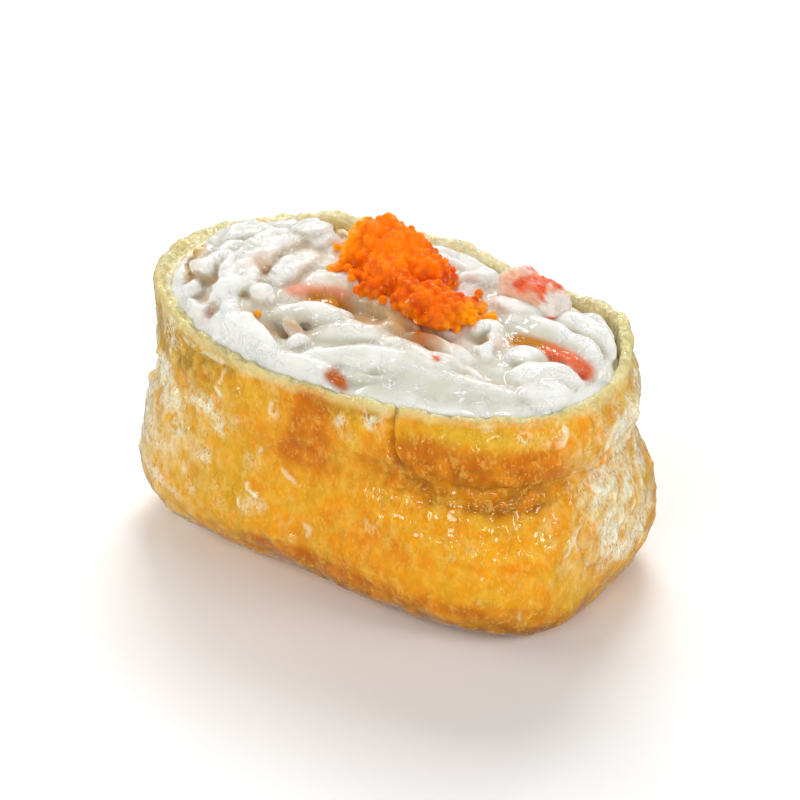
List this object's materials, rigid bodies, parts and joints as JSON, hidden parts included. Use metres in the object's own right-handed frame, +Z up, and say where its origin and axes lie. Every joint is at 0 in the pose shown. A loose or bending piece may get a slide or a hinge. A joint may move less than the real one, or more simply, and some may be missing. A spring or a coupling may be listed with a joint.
{
  "type": "inari sushi",
  "caption": "Inari sushi: an open fried tofu pouch filled with creamy shredded crab salad, topped with orange fish roe and a chunk of crab stick.",
  "frame": {"origin": "centre of the flat base, on the surface that the sushi rests on", "axes": "+X along the pouch to its right end, +Y to its back, +Z up out of the open mouth"},
  "size_m": [0.0743, 0.0467, 0.0469],
  "materials": {
    "tofu_skin": "moist, crumpled, golden fried tofu skin with a pale yellow rim",
    "crab_salad": "wet, creamy white shreds in mayonnaise",
    "fish_roe": "glossy, translucent orange grains",
    "crab_stick": "moist white crab stick with a coral red skin, thinly coated with mayonnaise"
  },
  "bodies": {
    "root": {"tofu_pouch": "tofu_skin", "crab_salad": "crab_salad", "fish_roe": "fish_roe", "crab_chunk": "crab_stick"}
  },
  "joints": []
}
